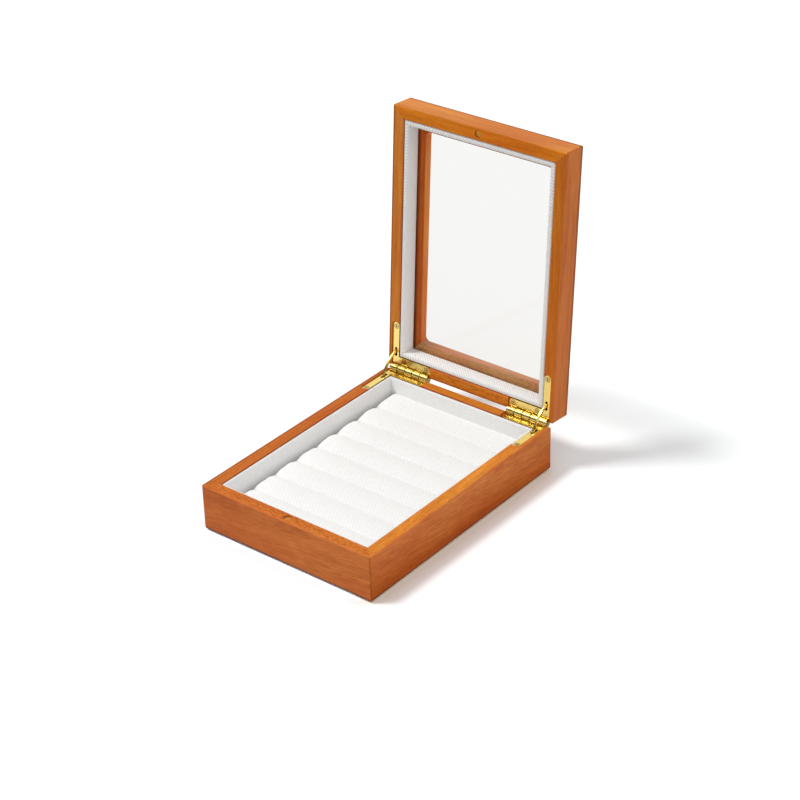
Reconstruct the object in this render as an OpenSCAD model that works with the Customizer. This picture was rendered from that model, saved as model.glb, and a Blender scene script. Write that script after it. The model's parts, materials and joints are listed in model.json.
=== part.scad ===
// Ring display box: a mitred wooden case with a glazed lid, two quadrant hinges with stays,
// linen-covered linings and a row of padded ring rolls.
// Drawn with the lid open on its stays. Millimetres. X runs along the hinge, Y from the front to the hinge,
// Z up. The origin is the centre of the base's underside.

/* [Case] */
// Outer width of the case, along the hinge
case_w = 110; // [90:1:160]
// Outer depth of the case, from the front to the hinge
case_d = 152; // [120:1:210]
// Height of the base
base_h = 27; // [24:0.5:40]
// Thickness of the lid
lid_h = 15; // [14:0.5:20]
// Thickness of the wooden walls and lid rails
wall_t = 7; // [6.5:0.5:10]
// Gap between the two rims when the lid is shut
rim_gap = 0.3; // [0.2:0.05:0.5]
// Angle between the rims when the lid is open
open_angle = 94; // [85:1:100]

/* [Wood edges] */
// Rounding of the base's bottom outer edges
foot_r = 2.5; // [1:0.1:3]
// Rounding of the base's top edge behind, under the hinge
base_back_r = 3.2; // [2:0.1:4]
// Rounding of the lid's rim edge behind, above the hinge
lid_back_r = 2.2; // [1:0.1:3]
// Rounding of the lid's top outer edges
lid_top_r = 1.8; // [0.5:0.1:2.5]
// Rounding of the rims' sharp edges
arris_r = 0.8; // [0.2:0.1:1]
// Rounding of the four upright corners
corner_r = 1.2; // [0.5:0.1:2]

/* [Bottom panel] */
// Thickness of the bottom panel
panel_t = 3; // [2:0.5:4]
// Width of the rebate that the panel sits in
rebate_w = 3.5; // [2:0.5:4]
// Clearance round the panel and round the glass
panel_gap = 0.2; // [0.1:0.05:0.5]

/* [Glass and its ledge] */
// Depth of the glass below the lid's rim
glass_depth = 9; // [6:0.5:10]
// Thickness of the glass
glass_t = 1.2; // [1:0.1:3]
// Width of the ledge past the rails' inner faces
ledge_w = 7.5; // [4:0.5:12]
// Radius of the window's corners
window_r = 3; // [1:0.5:6]

/* [Linings] */
// Thickness of the base's linings
base_lining_t = 1.5; // [1:0.1:3]
// Depth of the base linings' top below the rim
base_lining_drop = 1.1; // [0.5:0.1:4]
// Thickness of the lid's linings
lid_lining_t = 3.1; // [1:0.1:3.5]
// Depth of the lid linings' edge below the rim
lid_lining_drop = 0.5; // [0.3:0.1:3]

/* [Ring rolls] */
// Number of ring rolls
roll_count = 8; // [4:1:10]
// Depth of the rolls' crests below the base's rim
roll_drop = 10; // [8:0.5:12]
// Height of a roll's crest above the foot of the valley beside it
roll_crown = 2; // [1:0.1:3]
// Rounding of the rolls' ends
roll_end_r = 4; // [2:0.5:6]
// Gap between rolls, and between the rolls and the linings
roll_gap = 0.3; // [0.2:0.05:0.6]
// Thickness of the board under the rolls
board_t = 2; // [1:0.5:3]

/* [Hinges] */
// Thickness of the hinge leaves
leaf_t = 1.2; // [0.8:0.1:1.5]
// Length of a leaf along the back, from the hinge's outer end
leaf_len = 25.5; // [20:0.5:32]
// Width of a leaf's arm along the side
arm_w = 4; // [3.6:0.1:4.4]
// Reach of the arm from the pin
arm_len = 27.3; // [22:0.1:36]
// Depth of a leaf's face below the rim
leaf_drop = 0.8; // [0.3:0.05:1]
// Gap between a leaf and the wall's inner face
leaf_inset = 0.35; // [0.2:0.05:0.6]
// Gap between the leaves and the edge of their mortises
mortise_gap = 0.55; // [0.3:0.05:0.8]
// Radius of the hinge barrel
barrel_r = 2.5; // [2.2:0.1:2.8]
// Number of knuckles in each barrel
knuckle_count = 5; // [3:2:7]
// Gap between neighbouring knuckles
knuckle_gap = 0.3; // [0.2:0.05:0.5]
// Chamfer on the ends of the knuckles
knuckle_chamfer = 0.2; // [0.1:0.05:0.4]
// Radius of the hinge pins
pin_r = 0.9; // [0.7:0.05:1.2]
// Radial clearance between a pin and the knuckles
pin_clear = 0.04; // [0.02:0.01:0.08]
// How far a pin's ends stand out of the barrel
pin_proud = 0.15; // [0:0.05:0.3]

/* [Lid stays] */
// Distance of a stay's middle from the pin
stay_r = 7.9; // [7.2:0.1:8.4]
// Distance from the pin back to the centre of the stay's own curve
stay_back = 12; // [6:0.5:14]
// Width of the stay's strip
stay_w = 1.4; // [1.2:0.1:1.8]
// Thickness of the stay
stay_t = 0.9; // [0.7:0.1:1.2]
// Radius of the stop pins at the stay's ends
stop_r = 0.5; // [0.4:0.05:0.7]
// Length of the stop pins
stop_len = 2.6; // [2.2:0.1:3]
// Clearance round the stay in its slots and pockets
stay_clear = 0.35; // [0.3:0.05:0.5]
// Reach of the slots in the arms from the pin
slot_end = 12.2; // [12:0.1:15]

/* [Screws and magnets] */
// Radius of the screw heads
head_r = 1.35; // [1.2:0.05:1.5]
// Radius of the screw shanks
shank_r = 0.7; // [0.5:0.05:0.8]
// Length of the screws
screw_len = 6; // [5:0.5:8]
// Clearance round screws and magnets
seat_gap = 0.03; // [0.02:0.01:0.05]
// Distance from an arm to the head of the screw beside it
screw_from_arm = 2.2; // [1.5:0.1:6]
// Distance from the round ends' centres to the screws in them
screw_from_end = 0.4; // [0:0.1:1]
// Radius of the magnets
magnet_r = 2; // [1.5:0.25:2.5]
// Thickness of the magnets
magnet_t = 2; // [1:0.5:3]
// Depth of a magnet's face below the rim
magnet_drop = 0.6; // [0.05:0.05:1]

/* [Hidden] */
$fn = 48;

wood = [0.74, 0.42, 0.20];
board = [0.80, 0.68, 0.50];
linen = [0.95, 0.95, 0.93];
brass = [0.86, 0.68, 0.28];
glass = [0.86, 0.92, 0.92, 0.35];

// The four sides in turn round the case, each a quarter turn from the one before it
SIDES = ["front", "right", "back", "left"];
over = 1;                            // how far a cutter runs past the surface that it opens
far = 400;                           // longer than any part of the case

// The pin axis, level with the middle of the gap between the rims
pin_y = case_d / 2;
pin_z = base_h + rim_gap / 2;
lid_z = base_h + rim_gap;            // the lid's rim when it is shut
ledge_depth = glass_depth + glass_t; // the ledge's face below the lid's rim

// The leaves, in distances from the case's side and from the pin
leaf_x0 = wall_t - leaf_inset - arm_w;
leaf_x1 = leaf_x0 + leaf_len;
leaf_s0 = barrel_r + knuckle_gap;
leaf_s1 = wall_t - leaf_inset;
leaf_top = -rim_gap / 2 - leaf_drop; // the leaf's face, above the pin
leaf_end_r = (leaf_s1 - leaf_s0) / 2;
arm_x = leaf_x0 + arm_w / 2;
knuckle_len = leaf_len / knuckle_count;
screw_s = (leaf_s0 + leaf_s1) / 2;
screw_points = [
    [leaf_x1 - leaf_end_r - screw_from_end, screw_s],
    [leaf_x0 + arm_w + screw_from_arm + head_r, screw_s],
    [arm_x, arm_len - arm_w / 2 - screw_from_end]
];

// The stay bows about a centre behind the pin. Its stop pins bear under the arms when the lid is open
half_turn = open_angle / 2;
stay_bend = stay_r + stay_back;
stop_dip = -leaf_top + leaf_t + stop_r + stay_clear;
stop_slope = asin((stay_back * sin(half_turn) - stop_dip) / stay_bend);
stay_turn = half_turn - stop_slope;  // half of the stay's arc
stop_s = stay_bend * cos(stop_slope) - stay_back * cos(half_turn);
stop_reach = norm([stop_s, stop_dip]);
stay_s0 = stay_r - stay_w / 2 - stay_clear;
stay_s1 = stop_reach + stay_w / 2 + stay_clear;
pocket_turn = half_turn + atan(stop_dip / stop_s) + asin((stay_w / 2 + stay_clear) / stop_reach);

// The space inside the linings
tray_x = case_w / 2 - wall_t - base_lining_t - roll_gap;
tray_y = case_d / 2 - wall_t - base_lining_t - roll_gap;
roll_pitch = 2 * tray_y / roll_count;
roll_w = roll_pitch - roll_gap;
roll_z = panel_t + board_t;
roll_h = base_h - roll_drop - roll_z;
crown_r = (pow(roll_w / 2, 2) + pow(roll_crown, 2)) / (2 * roll_crown);

function along_x(side) = side == "front" || side == "back";
function side_turn(side) = 90 * search([side], SIDES)[0];
function side_len(side) = along_x(side) ? case_w : case_d;
function side_out(side) = along_x(side) ? case_d / 2 : case_w / 2;

// ---------------------------------------------------------------- shared shapes

// What is left of a square of the given size outside its inscribed quarter circle, to cut a corner round
module corner_cut(r) {
    difference() {
        translate([-over, -over]) square(r + over);
        translate([r, r]) circle(r);
    }
}

// A rectangle from the origin, with its corners rounded from the lower left, anticlockwise
module soft_rect(w, h, r) {
    difference() {
        square([w, h]);
        if (r[0] > 0) corner_cut(r[0]);
        if (r[1] > 0) translate([w, 0]) mirror([1, 0]) corner_cut(r[1]);
        if (r[2] > 0) translate([w, h]) mirror([1, 0]) mirror([0, 1]) corner_cut(r[2]);
        if (r[3] > 0) translate([0, h]) mirror([0, 1]) corner_cut(r[3]);
    }
}

// A profile drawn inwards and upwards from a side's outer edge, run along the whole of that side
module along_side(side) {
    rotate([0, 0, side_turn(side)])
        translate([-side_len(side) / 2, -side_out(side), 0])
            rotate([90, 0, 90]) linear_extrude(side_len(side)) children();
}

// The plan of one side between its two mitres, as far inwards as reach
module mitre_plan(side, reach) {
    half = side_len(side) / 2;
    out = side_out(side);
    rotate(side_turn(side))
        polygon([[-half, -out], [half, -out], [half - reach, -out + reach], [-half + reach, -out + reach]]);
}

// A mitred piece of frame on one side: the profile in children(), cut to the mitres
module mitred(side, reach, z, h) {
    intersection() {
        translate([0, 0, z]) along_side(side) children();
        translate([0, 0, z - over]) linear_extrude(h + 2 * over) mitre_plan(side, reach);
    }
}

// Cuts the four upright corners of the case round
module upright_corners(z, h) {
    for (sx = [0, 1]) for (sy = [0, 1])
        mirror([sx, 0, 0]) mirror([0, sy, 0])
            translate([-case_w / 2, -case_d / 2, z - over]) linear_extrude(h + 2 * over) corner_cut(corner_r);
}

// A cutter that rounds the edge over the hinge, for an edge at height z whose wood lies below it
module back_edge(z, r) {
    translate([-far / 2, pin_y, z]) rotate([90, 0, 90]) linear_extrude(far)
        mirror([1, 0]) mirror([0, 1]) corner_cut(r);
}

// Puts what is drawn from the hinge's outer corner in place: X in from the side, Y from the pin, Z up
module at_pin(left) {
    translate([0, pin_y, pin_z]) mirror([left ? 0 : 1, 0, 0]) translate([-case_w / 2, 0, 0]) children();
}

// Turns what is drawn with the lid shut to where it is with the lid open
module open_lid() {
    translate([0, pin_y, pin_z]) rotate([-open_angle, 0, 0]) translate([0, -pin_y, -pin_z]) children();
}

// The lid's half of a hinge is the base's half turned over about the rims' plane
module lid_half() {
    mirror([0, 0, 1]) children();
}

// ---------------------------------------------------------------- hinges

// The outline of a leaf in plan, grown by a margin; its arm runs along the side, towards -Y
module leaf_plan(from_s, margin) {
    end = arm_w / 2;
    translate([leaf_x0 - margin, -leaf_s1 - margin])
        square([leaf_len - leaf_end_r + margin, leaf_s1 - from_s + margin]);
    translate([leaf_x1 - leaf_end_r - over, -leaf_s1 + leaf_end_r])
        square([leaf_end_r + over + margin, leaf_s1 - leaf_end_r - from_s]);
    translate([leaf_x1 - leaf_end_r, -leaf_s1 + leaf_end_r]) circle(leaf_end_r + margin);
    translate([leaf_x0 - margin, -arm_len + end])
        square([arm_w + 2 * margin, arm_len - end - leaf_s0]);
    translate([arm_x, -arm_len + end]) circle(end + margin);
}

// Ring sector between two radii and two angles, drawn in the plane across the pin
module pin_sector(r0, r1, a0, a1) {
    reach = 3 * r1;
    mid = (a0 + a1) / 2;
    intersection() {
        difference() {
            circle(r1, $fn = 96);
            circle(r0, $fn = 96);
        }
        polygon([[0, 0], for (a = [a0, (a0 + mid) / 2, mid, (mid + a1) / 2, a1]) reach * [cos(a), sin(a)]]);
    }
}

// Runs a shape drawn across the pin along X, with its middle at x; its angles count up from the base's rim
module across_pin(x, w) {
    translate([x - w / 2, 0, 0]) rotate([90, 0, 90]) linear_extrude(w) mirror([1, 0]) children();
}

module screw_seats(clear) {
    for (p = screw_points) translate([p[0], -p[1], leaf_top]) {
        translate([0, 0, -screw_len - clear]) cylinder(r = shank_r + clear, h = screw_len + clear);
        translate([0, 0, -head_r + shank_r]) cylinder(r1 = shank_r + clear, r2 = head_r + clear, h = head_r - shank_r);
        cylinder(r = head_r + clear, h = over);
    }
}

// A round bar of the barrel's radius, with its two ends chamfered
module knuckle(len) {
    c = knuckle_chamfer;
    cylinder(r1 = barrel_r - c, r2 = barrel_r, h = c);
    translate([0, 0, c]) cylinder(r = barrel_r, h = len - 2 * c);
    translate([0, 0, len - c]) cylinder(r1 = barrel_r, r2 = barrel_r - c, h = c);
}

// One L-shaped leaf with its knuckles. The first knuckle it owns is 0 or 1, then every second one
module hinge_leaf(first) {
    slot_w = stay_t + 2 * stay_clear;
    difference() {
        union() {
            translate([0, 0, leaf_top - leaf_t]) linear_extrude(leaf_t) leaf_plan(leaf_s0, 0);
            for (k = [first : 2 : knuckle_count - 1]) translate([leaf_x0 + k * knuckle_len, 0, 0]) {
                x0 = k == 0 ? 0 : knuckle_gap / 2;
                x1 = knuckle_len - (k == knuckle_count - 1 ? 0 : knuckle_gap / 2);
                translate([x0, 0, 0]) rotate([0, 90, 0]) knuckle(x1 - x0);
                translate([x0, -leaf_s0 - over, leaf_top - leaf_t]) cube([x1 - x0, leaf_s0 + over, leaf_t]);
            }
        }
        translate([leaf_x0 - over, 0, 0]) rotate([0, 90, 0])
            cylinder(r = pin_r + pin_clear, h = leaf_len + 2 * over);
        translate([arm_x - slot_w / 2, -slot_end + slot_w / 2, leaf_top - leaf_t - over])
            cube([slot_w, slot_end - slot_w / 2 - stay_s0, leaf_t + 2 * over]);
        translate([arm_x, -slot_end + slot_w / 2, leaf_top - leaf_t - over])
            cylinder(d = slot_w, h = leaf_t + 2 * over);
        screw_seats(seat_gap);
    }
}

// What one leaf, its barrel, its screws and its stay take out of the wood
module hinge_mortise() {
    deep = leaf_top - leaf_t;
    x0 = leaf_x0 - mortise_gap;
    x1 = leaf_x1 + mortise_gap;
    end = arm_w / 2;
    translate([x0, -wall_t - over, deep]) cube([x1 - x0, wall_t + 2 * over, far]);
    translate([x0, -arm_len + end, deep]) cube([wall_t + over - x0, arm_len - end, far]);
    translate([arm_x, -arm_len + end, deep]) cylinder(r = end + mortise_gap, h = far);
    translate([x0, 0, 0]) rotate([0, 90, 0]) cylinder(r = barrel_r + mortise_gap, h = x1 - x0);
    across_pin(arm_x, stop_len + 2 * stay_clear)
        pin_sector(stay_s0, stay_s1, -pocket_turn, 0);
    screw_seats(seat_gap);
}

module hinge_mortises() {
    for (left = [true, false]) at_pin(left) hinge_mortise();
}

module hinge_screw() {
    cross_w = 0.4;
    cross_l = 1.7;
    cross_deep = 0.4;
    point_r = 0.15;
    point_h = 1.6;
    difference() {
        union() {
            cylinder(r1 = point_r, r2 = shank_r, h = point_h);
            translate([0, 0, point_h]) cylinder(r = shank_r, h = screw_len - point_h);
            translate([0, 0, screw_len - head_r + shank_r]) cylinder(r1 = shank_r, r2 = head_r, h = head_r - shank_r);
        }
        for (a = [0, 90]) translate([0, 0, screw_len]) rotate(a)
            cube([cross_l, cross_w, 2 * cross_deep], center = true);
    }
}

module hinge_screw_set() {
    for (p = screw_points) translate([p[0], -p[1], leaf_top - screw_len]) hinge_screw();
}

module hinge_pin(left) {
    color(brass) at_pin(left) translate([leaf_x0 - pin_proud, 0, 0])
        rotate([0, 90, 0]) cylinder(r = pin_r, h = leaf_len + 2 * pin_proud);
}

// The bowed stay, with a stop pin across each end
module lid_stay(left) {
    color(brass) at_pin(left) {
        across_pin(arm_x, stay_t) stay_bow() {
            pin_sector(stay_bend - stay_w / 2, stay_bend + stay_w / 2, -stay_turn, stay_turn);
            stay_ends() circle(stay_w / 2);
        }
        across_pin(arm_x, stop_len) stay_bow() stay_ends() circle(stop_r);
    }
}

// Puts what is drawn about the centre of the stay's curve, with its middle at angle 0, behind the pin
module stay_bow() {
    rotate(half_turn) translate([-stay_back, 0]) children();
}

module stay_ends() {
    for (turn = [-stay_turn, stay_turn]) rotate(turn) translate([stay_bend, 0]) children();
}

// ---------------------------------------------------------------- base

module base_wall(side) {
    color(wood) difference() {
        mitred(side, wall_t, 0, base_h)
            soft_rect(wall_t, base_h, [foot_r, 0, arris_r, side == "back" ? 0 : arris_r]);
        upright_corners(0, base_h);
        if (side != "front") back_edge(base_h, base_back_r);
        panel_rebate();
        if (side != "front") hinge_mortises();
        if (side == "front") magnet_seat(base_h, -1);
    }
}

module panel_rebate() {
    inset = wall_t - rebate_w;
    translate([-case_w / 2 + inset, -case_d / 2 + inset, -over])
        cube([case_w - 2 * inset, case_d - 2 * inset, panel_t + over]);
}

module bottom_panel() {
    inset = wall_t - rebate_w + panel_gap;
    color(board) translate([-case_w / 2 + inset, -case_d / 2 + inset, 0])
        cube([case_w - 2 * inset, case_d - 2 * inset, panel_t]);
}

module roll_board() {
    color(board) translate([-tray_x, -tray_y, panel_t]) cube([2 * tray_x, 2 * tray_y, board_t]);
}

// A strip of lining on one side of a frame, between two heights
module lining(side, t, z0, z1) {
    color(linen) mitred(side, wall_t + t, z0, z1 - z0)
        translate([wall_t, 0]) soft_rect(t, z1 - z0, [0, 0, t / 3, 0]);
}

module base_lining(side) {
    lining(side, base_lining_t, panel_t, base_h - base_lining_drop);
}

// One padded roll: crowned across, and rounded at its two ends
module ring_roll(i) {
    y = -tray_y + (i - 0.5) * roll_pitch;
    color(linen) translate([0, y, roll_z]) intersection() {
        translate([-tray_x, 0, 0]) rotate([90, 0, 90]) linear_extrude(2 * tray_x) intersection() {
            translate([-roll_w / 2, 0]) square([roll_w, roll_h]);
            translate([0, roll_h - crown_r]) circle(crown_r, $fn = 96);
        }
        translate([0, roll_w / 2 + over, 0]) rotate([90, 0, 0]) linear_extrude(roll_w + 2 * over)
            translate([-tray_x, 0]) soft_rect(2 * tray_x, roll_h + over, [0, 0, roll_end_r + over, roll_end_r + over]);
    }
}

// A hole for a magnet in the middle of a front rim at height z, open towards up
module magnet_seat(z, up) {
    deep = magnet_drop + magnet_t;
    translate([0, -case_d / 2 + wall_t / 2, z]) mirror([0, 0, up < 0 ? 0 : 1])
        translate([0, 0, -deep]) cylinder(r = magnet_r + seat_gap, h = deep + over);
}

module magnet(z, up) {
    color(brass) translate([0, -case_d / 2 + wall_t / 2, z]) mirror([0, 0, up < 0 ? 0 : 1])
        translate([0, 0, -magnet_drop - magnet_t]) cylinder(r = magnet_r, h = magnet_t);
}

// ---------------------------------------------------------------- lid

module lid_rail(side) {
    ledge_t = lid_h - ledge_depth;
    reach = wall_t + ledge_w + window_r;
    color(wood) open_lid() difference() {
        mitred(side, reach, lid_z, lid_h) {
            soft_rect(wall_t, lid_h, [side == "back" ? 0 : arris_r, arris_r, 0, lid_top_r]);
            translate([wall_t - over, ledge_depth]) square([reach - wall_t + over, ledge_t]);
        }
        window_cut();
        upright_corners(lid_z, lid_h);
        if (side != "front") translate([0, 0, 2 * lid_z]) mirror([0, 0, 1]) back_edge(lid_z, lid_back_r);
        if (side != "front") lid_mortises();
        if (side == "front") magnet_seat(lid_z, 1);
    }
}

module lid_mortises() {
    for (left = [true, false]) at_pin(left) lid_half() hinge_mortise();
}

// The window through the ledge, with round corners
module window_cut() {
    inset = wall_t + ledge_w;
    w = case_w - 2 * inset;
    d = case_d - 2 * inset;
    translate([-w / 2, -d / 2, lid_z + ledge_depth - over])
        linear_extrude(far) soft_rect(w, d, [window_r, window_r, window_r, window_r]);
}

module glass_pane() {
    inset = wall_t + panel_gap;
    color(glass) open_lid() translate([-case_w / 2 + inset, -case_d / 2 + inset, lid_z + glass_depth])
        cube([case_w - 2 * inset, case_d - 2 * inset, glass_t]);
}

module lid_lining(side) {
    open_lid() translate([0, 0, 2 * lid_z]) mirror([0, 0, 1])
        lining(side, lid_lining_t, lid_z - glass_depth, lid_z - lid_lining_drop);
}

// ---------------------------------------------------------------- the nodes

for (side = SIDES) {
    base_wall(side);
    base_lining(side);
    lid_rail(side);
    lid_lining(side);
}
bottom_panel();
roll_board();
for (i = [1 : roll_count])
    ring_roll(i);
magnet(base_h, -1);  // base_magnet
color(brass) at_pin(true) hinge_leaf(0);  // left_base_leaf
color(brass) at_pin(false) hinge_leaf(1);  // right_base_leaf
hinge_pin(true);  // left_hinge_pin
hinge_pin(false);  // right_hinge_pin
color(brass) for (left = [true, false]) at_pin(left) hinge_screw_set();  // base_hinge_screws
lid_stay(true);  // left_stay
lid_stay(false);  // right_stay
color(brass) open_lid() at_pin(true) lid_half() hinge_leaf(1);  // left_lid_leaf
color(brass) open_lid() at_pin(false) lid_half() hinge_leaf(0);  // right_lid_leaf
color(brass) open_lid() for (left = [true, false]) at_pin(left) lid_half() hinge_screw_set();  // lid_hinge_screws
glass_pane();
open_lid() magnet(lid_z, 1);  // lid_magnet
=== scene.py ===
"""The looks of a ring display box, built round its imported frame.

Lengths are in metres, in the frame's own axes: X along the hinge, -Y to the front, Z up. The lid is open, as
the frame has it at rest. Wood, brass and glass keep the frame's solids and get their finishes here. The linen
linings and the padded ring rolls are new surfaces that replace the frame's plain solids.
"""

from __future__ import annotations

import json
import logging
import math
import sys
from dataclasses import dataclass, field
from enum import Enum
from functools import reduce

import bpy
import numpy as np
from mathutils import Matrix, Vector

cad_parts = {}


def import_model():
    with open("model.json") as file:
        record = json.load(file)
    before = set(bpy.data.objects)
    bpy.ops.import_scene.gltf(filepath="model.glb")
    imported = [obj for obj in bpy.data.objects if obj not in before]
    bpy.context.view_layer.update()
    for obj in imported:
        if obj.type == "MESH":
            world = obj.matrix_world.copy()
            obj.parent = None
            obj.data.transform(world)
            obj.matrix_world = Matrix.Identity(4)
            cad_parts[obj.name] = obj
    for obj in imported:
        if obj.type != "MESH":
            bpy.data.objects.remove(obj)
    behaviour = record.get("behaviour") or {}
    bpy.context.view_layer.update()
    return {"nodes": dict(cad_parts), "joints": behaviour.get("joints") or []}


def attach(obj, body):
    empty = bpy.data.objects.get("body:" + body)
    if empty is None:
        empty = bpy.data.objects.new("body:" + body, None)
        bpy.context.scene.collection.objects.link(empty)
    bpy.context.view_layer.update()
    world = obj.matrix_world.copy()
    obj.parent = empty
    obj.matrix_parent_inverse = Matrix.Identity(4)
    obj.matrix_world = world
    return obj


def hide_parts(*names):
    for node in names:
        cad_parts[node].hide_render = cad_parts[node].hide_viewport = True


LOG = logging.getLogger("ring_display_box")
MM = 0.001
Points = np.ndarray
Node = bpy.types.Node
Socket = bpy.types.NodeSocket
Material = bpy.types.Material
Piece = bpy.types.Object
Value = Socket | float
Pair = tuple[float, float]
Triple = tuple[float, float, float]
Colour = tuple[float, float, float]
PLAIN: Colour = (1.0, 1.0, 1.0)


def triple(values: Points) -> Triple:
    """Three numbers of an array as plain floats."""
    return tuple(float(value) for value in values)


class Side(Enum):
    """A side of the case, with the way inwards from it as its value."""

    FRONT = (0.0, 1.0, 0.0)
    RIGHT = (-1.0, 0.0, 0.0)
    BACK = (0.0, -1.0, 0.0)
    LEFT = (1.0, 0.0, 0.0)

    @property
    def word(self) -> str:
        """The side's name as the frame's nodes have it."""
        return self.name.lower()

    @property
    def inwards(self) -> Points:
        """The unit vector from this side towards the middle of the case."""
        return np.array(self.value)

    @property
    def along(self) -> Points:
        """The unit vector along this side: X for the front and back, Y for the left and right."""
        return np.abs(np.array([self.value[1], self.value[0], 0.0]))


@dataclass(frozen=True)
class LidTurn:
    """The lid's turn about its pins, between shut and open.

    Args:
        pin: A point on the pins' axis, which runs along X.
        opened: The angle between the rims at rest, in radians.
    """

    pin: Triple
    opened: float

    def _turned(self, points: Points, angle: float) -> Points:
        """Points turned about the pins: y' = y cos a - z sin a, z' = y sin a + z cos a, from the pin.

        Args:
            points: The points before.
            angle: The turn, in radians.

        Returns:
            The points after.
        """
        y, z = points[..., 1] - self.pin[1], points[..., 2] - self.pin[2]
        turned = np.array(points, float)
        turned[..., 1] = self.pin[1] + y * math.cos(angle) - z * math.sin(angle)
        turned[..., 2] = self.pin[2] + y * math.sin(angle) + z * math.cos(angle)
        return turned

    def open(self, points: Points) -> Points:
        """Where points of the shut lid are when it is open."""
        return self._turned(points, -self.opened)

    def opened_way(self, way: Points) -> Points:
        """The way that a direction on the shut lid points when it is open."""
        return self.open(np.array(self.pin) + way) - np.array(self.pin)

    def shut(self, points: Points) -> Points:
        """Where points of the open lid are when it is shut."""
        return self._turned(points, self.opened)


# ---------------------------------------------------------------- shader graphs


class Graph:
    """The node tree of one material or world, with short ways to add and join its nodes."""

    def __init__(self, owner: Material | bpy.types.World) -> None:
        """Empties the owner's tree.

        Args:
            owner: The material or world to build.
        """
        owner.use_nodes = True
        self.tree = owner.node_tree
        self.tree.nodes.clear()

    def node(self, kind: str, inputs: dict[str | int, object] | None = None, **settings: object) -> Node:
        """Adds a node.

        Args:
            kind: The node's type without its ShaderNode prefix.
            inputs: A socket to join or a value to set, for each input by name or place. A colour is a triple.
            **settings: The node's own properties.

        Returns:
            The new node.
        """
        made = self.tree.nodes.new("ShaderNode" + kind)
        for name, value in settings.items():
            setattr(made, name, value)
        for name, value in (inputs or {}).items():
            socket = made.inputs[name]
            if isinstance(value, Socket):
                self.tree.links.new(value, socket)
            else:
                socket.default_value = (*value, 1.0) if socket.type == "RGBA" else value
        return made

    def math(self, operation: str, *values: Value) -> Socket:
        """The result of one Math node on the values given."""
        return self.node("Math", dict(enumerate(values)), operation=operation).outputs[0]

    def times(self, first: Value, second: Value) -> Socket:
        """The product of two values."""
        return self.math("MULTIPLY", first, second)

    def plus(self, first: Value, second: Value) -> Socket:
        """The sum of two values."""
        return self.math("ADD", first, second)

    def apart(self, first: Value, second: Value) -> Socket:
        """How far apart two values are."""
        return self.math("ABSOLUTE", self.math("SUBTRACT", first, second))

    def ripple(self, at: Socket, length: float = 1.0) -> Socket:
        """Even humps of that length: |sin(pi at / length)|."""
        return self.math("ABSOLUTE", self.math("SINE", self.times(at, math.pi / length)))

    def choose(self, share: Value, first: Value, second: Value) -> Socket:
        """A number between first and second, by share."""
        return self.node("Mix", {0: share, 2: first, 3: second}, data_type="FLOAT").outputs[0]

    def mix(self, share: Value, first: Socket | Colour, second: Socket | Colour) -> Socket:
        """A colour between first and second, by share."""
        return self.node("Mix", {0: share, 6: first, 7: second}, data_type="RGBA").outputs[2]

    def tint(self, colour: Socket, by: Colour, *shares: Value) -> Socket:
        """The colour multiplied by another, by the product of the shares."""
        inputs = {0: reduce(self.times, shares), 6: colour, 7: by}
        return self.node("Mix", inputs, data_type="RGBA", blend_type="MULTIPLY").outputs[2]

    def dot(self, way: Socket, by: Triple) -> Socket:
        """The scalar product of a vector and a fixed one."""
        return self.node("VectorMath", {0: way, 1: by}, operation="DOT_PRODUCT").outputs["Value"]

    def spread(
        self, value: Socket, low: float, high: float, to_low: float = 0.0, to_high: float = 1.0
    ) -> Socket:
        """The value moved from low..high to to_low..to_high, held at the ends."""
        inputs = {"Value": value, "From Min": low, "From Max": high, "To Min": to_low, "To Max": to_high}
        return self.node("MapRange", inputs, clamp=True).outputs[0]

    def air(self, reach: float, samples: int) -> Socket:
        """How open a place is within reach of it, from 0 to 1."""
        return self.node("AmbientOcclusion", {"Distance": reach}, samples=samples).outputs["AO"]

    def crevice(self, reach: float) -> Socket:
        """How shut in a place is by what lies within reach of it, from 0 in the open to 1."""
        return self.spread(self.air(reach, 6), 0.35, 0.85, 1.0, 0.0)

    def noise(self, where: Socket, scale: float, detail: float = 2.0, roughness: float = 0.5) -> Socket:
        """A noise texture's value, from 0 to 1."""
        inputs = {"Vector": where, "Scale": scale, "Detail": detail, "Roughness": roughness}
        return self.node("TexNoise", inputs).outputs[0]

    def stretched(self, where: Socket, scale: Triple) -> Socket:
        """The place where scaled along each of its axes."""
        return self.node("Mapping", {"Vector": where, "Scale": scale}).outputs[0]

    def ramp(self, value: Socket, stops: dict[float, Colour]) -> Socket:
        """A colour ramp read at value.

        Args:
            value: Where on the ramp to read.
            stops: The colour at each place from 0 to 1.

        Returns:
            The ramp's colour.
        """
        made = self.node("ValToRGB", {"Fac": value})
        elements = made.color_ramp.elements
        while len(elements) < len(stops):
            elements.new(1.0)
        for element, (place, colour) in zip(elements, sorted(stops.items())):
            element.position = place
            element.color = (*colour, 1.0)
        return made.outputs[0]

    def bump(self, height: Socket, distance: float, strength: float) -> Socket:
        """A bumped normal from a height of 0 to 1 over the distance given."""
        inputs = {"Height": height, "Distance": distance, "Strength": strength}
        return self.node("Bump", inputs).outputs[0]

    def surface(self, shader: Node) -> None:
        """Makes shader the material's surface."""
        output = self.node("OutputMaterial")
        self.tree.links.new(shader.outputs[0], output.inputs["Surface"])


def new_graph(name: str) -> tuple[Material, Graph]:
    """A new material of that name, and its empty graph."""
    material = bpy.data.materials.new(name)
    return material, Graph(material)


class Grain(Enum):
    """The way a rail's grain runs, as the turn that takes a texture's X axis to it."""

    ACROSS = (0.0, 0.0, 0.0)
    DEPTH = (0.0, 0.0, math.pi / 2)
    UP_LID = (0.0, -math.radians(86), math.pi / 2)


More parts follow.
